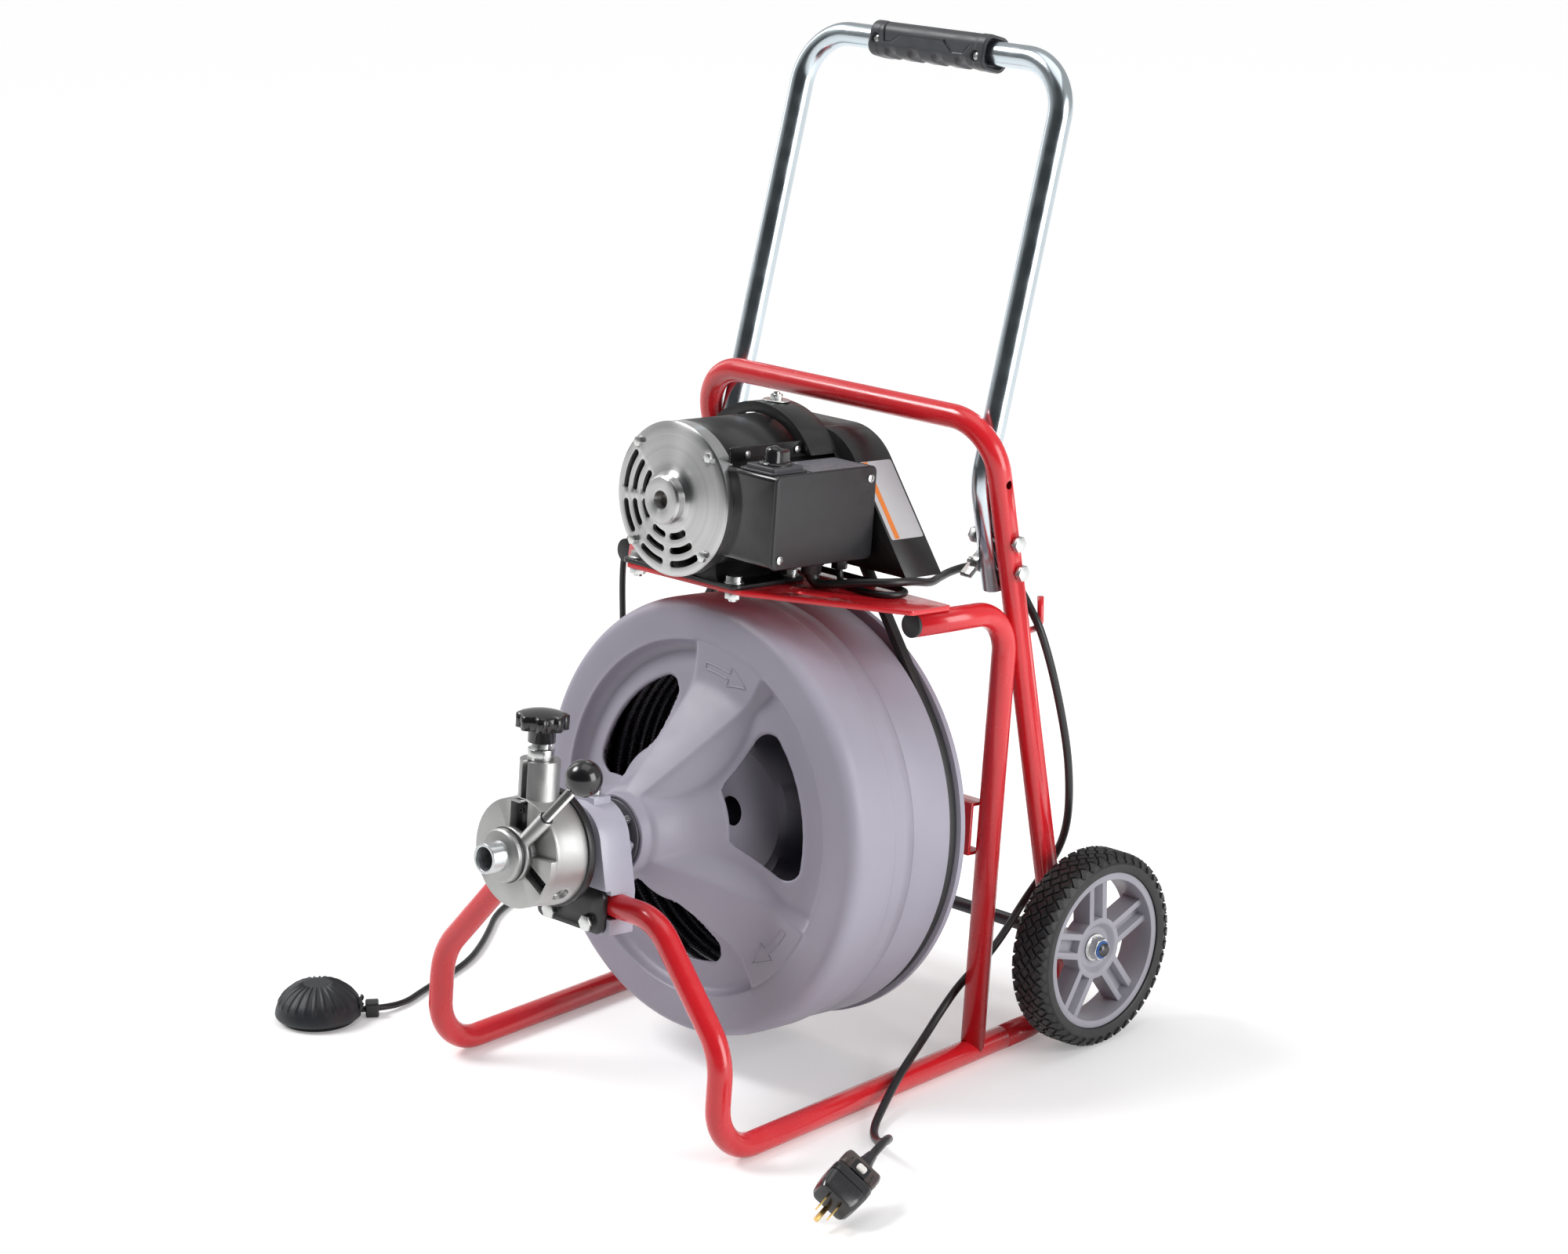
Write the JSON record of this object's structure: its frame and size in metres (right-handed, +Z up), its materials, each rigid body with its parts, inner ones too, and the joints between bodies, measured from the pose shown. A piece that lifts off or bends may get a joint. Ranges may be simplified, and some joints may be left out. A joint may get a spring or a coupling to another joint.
{
  "type": "electric drain snake",
  "caption": "Drum drain cleaning machine on a wheeled tube frame: belt-driven drum with coiled cable, motor with switch box, autofeed nose, folding handle, foot pedal and plug.",
  "frame": {"origin": "centre of the machine's outline on the floor, taken without the power cord, its plug, the air hose and the foot pedal", "axes": "+X to the right seen from the front, +Y towards the back with the wheels, +Z up; the nose points to -Y and the drum axis rises to it by 6.5 degrees"},
  "size_m": [0.7956, 0.6322, 0.9163],
  "materials": {
    "red_frame": "gloss powder coat",
    "black_plastic": "moulded",
    "dark_steel": "dark turned",
    "zinc_steel": "bright zinc",
    "grey_plastic": "moulded",
    "tyre_rubber": "moulded tread",
    "grey_casting": "painted casting",
    "black_paint": "satin",
    "bearing_steel": "ground",
    "spun_aluminium": "spun and machined",
    "winding_steel": "laminated",
    "cast_pulley": "die cast",
    "belt_rubber": "plain",
    "switch_grey": "moulded",
    "drum_plastic": "moulded with a fine grain",
    "cable_steel": "oiled wound wire",
    "cast_aluminium": "sand cast and machined",
    "polished_steel": "polished",
    "ball_plastic": "polished",
    "handle_zinc": "bright zinc plated",
    "grip_plastic": "moulded",
    "pedal_rubber": "moulded ribs",
    "plug_plastic": "moulded",
    "plug_brass": "stamped",
    "button_white": "moulded",
    "cord_rubber": "extruded"
  },
  "bodies": {
    "frame": {"front_hoop": "red_frame", "rear_hoop": "red_frame", "support_tubes": "red_frame", "tube_end_caps": "black_plastic", "motor_plate": "red_frame", "rear_cross_member": "red_frame", "axle": "dark_steel", "axle_fasteners": "zinc_steel", "bearing_block": "grey_casting", "clamp_plate": "black_paint", "hex_bolts": "zinc_steel", "bearings": "bearing_steel", "motor_shell": "black_paint", "front_bell": "spun_aluminium", "rear_bell": "spun_aluminium", "motor_screws": "zinc_steel", "stator": "winding_steel", "motor_base": "black_paint", "drive_belt": "belt_rubber", "belt_guard": "black_paint", "switch_box": "black_plastic", "switch_cover": "black_plastic", "switch_plate": "switch_grey", "switch_bodies": "black_plastic", "glands": "black_plastic", "feed_back_plate": "black_paint", "feed_housing": "cast_aluminium", "roller_carriers": "black_paint", "lock_nut": "zinc_steel", "feed_nose": "zinc_steel", "handle_bolts": "zinc_steel", "pedal_base": "black_plastic", "plug_body": "plug_plastic", "plug_blades": "plug_brass", "power_cord": "cord_rubber", "air_hose": "cord_rubber"},
    "drum": {"drum_front_shell": "drum_plastic", "drum_rear_shell": "drum_plastic", "hub_collar": "black_plastic", "guide_tube": "zinc_steel", "cable_coil": "cable_steel"},
    "motor_rotor": {"rotor": "winding_steel", "motor_pulley": "cast_pulley"},
    "switch_knob": {"switch_knob": "black_plastic"},
    "feed_lever": {"feed_lever": "polished_steel", "lever_ball": "ball_plastic"},
    "roller_top": {"roller_top": "bearing_steel"},
    "roller_left": {"roller_left": "bearing_steel"},
    "roller_right": {"roller_right": "bearing_steel"},
    "plunger": {"plunger": "bearing_steel"},
    "feed_knob": {"feed_knob": "black_plastic"},
    "left_wheel": {"left_wheel_centre": "grey_plastic", "left_tyre": "tyre_rubber"},
    "right_wheel": {"right_wheel_centre": "grey_plastic", "right_tyre": "tyre_rubber"},
    "handle": {"handle_tube": "handle_zinc", "grip": "grip_plastic", "wing_nuts": "zinc_steel"},
    "pedal": {"pedal_dome": "pedal_rubber"},
    "plug_button": {"plug_button": "button_white"}
  },
  "joints": [
    {"name": "drum_spin", "type": "hinge", "parent": "frame", "child": "drum", "pos_m": [0, 0.028, 0.228], "axis": [0, -0.9936, 0.1132], "continuous": true},
    {"name": "motor_spin", "type": "hinge", "parent": "frame", "child": "motor_rotor", "pos_m": [-0.021, 0.06117, 0.51912], "axis": [0, -0.9936, 0.1132], "continuous": true},
    {"name": "left_wheel_spin", "type": "hinge", "parent": "frame", "child": "left_wheel", "pos_m": [-0.227, 0.2235, 0.0924], "axis": [1, 0, 0], "continuous": true},
    {"name": "right_wheel_spin", "type": "hinge", "parent": "frame", "child": "right_wheel", "pos_m": [0.227, 0.2235, 0.0924], "axis": [1, 0, 0], "continuous": true},
    {"name": "handle_fold", "type": "hinge", "parent": "frame", "child": "handle", "pos_m": [0, 0.15746, 0.4856], "axis": [-1, 0, 0], "range_deg": [0, 120]},
    {"name": "switch_turn", "type": "hinge", "parent": "frame", "child": "switch_knob", "pos_m": [0.072, -0.0256, 0.57027], "axis": [0, 0.1132, 0.9936], "range_deg": [-45, 45]},
    {"name": "feed_lever_swing", "type": "hinge", "parent": "frame", "child": "feed_lever", "pos_m": [0, -0.28398, 0.26355], "axis": [0, -0.9936, 0.1132], "range_deg": [-20, 20]},
    {"name": "feed_knob_turn", "type": "hinge", "parent": "frame", "child": "feed_knob", "pos_m": [0, -0.24385, 0.35962], "axis": [0, 0.1132, 0.9936], "range_deg": [-540, 0]},
    {"name": "plunger_slide", "type": "slide", "parent": "frame", "child": "plunger", "axis": [0, 0.1132, 0.9936], "range_m": [-0.003, 0]},
    {"name": "roller_top_spin", "type": "hinge", "parent": "frame", "child": "roller_top", "pos_m": [0, -0.25329, 0.28119], "axis": [0, -0.9936, 0.1132], "continuous": true},
    {"name": "roller_left_spin", "type": "hinge", "parent": "frame", "child": "roller_left", "pos_m": [-0.01819, -0.25685, 0.24989], "axis": [0, -0.9936, 0.1132], "continuous": true},
    {"name": "roller_right_spin", "type": "hinge", "parent": "frame", "child": "roller_right", "pos_m": [0.01819, -0.25685, 0.24989], "axis": [0, -0.9936, 0.1132], "continuous": true},
    {"name": "pedal_press", "type": "slide", "parent": "frame", "child": "pedal", "axis": [0, 0, 1], "range_m": [-0.004, 0], "stiffness_N_per_m": 1500, "springref_m": 0.003},
    {"name": "plug_button_press", "type": "slide", "parent": "frame", "child": "plug_button", "axis": [0.6816, -0.027, 0.7313], "range_m": [-0.0015, 0], "stiffness_N_per_m": 300, "springref_m": 0.001}
  ],
  "couplings": [
    {"joint": "motor_spin", "follows": "drum_spin", "ratio": 5.5797},
    {"joint": "feed_knob_turn", "follows": "plunger_slide", "rad_per_m": 3141.6}
  ]
}
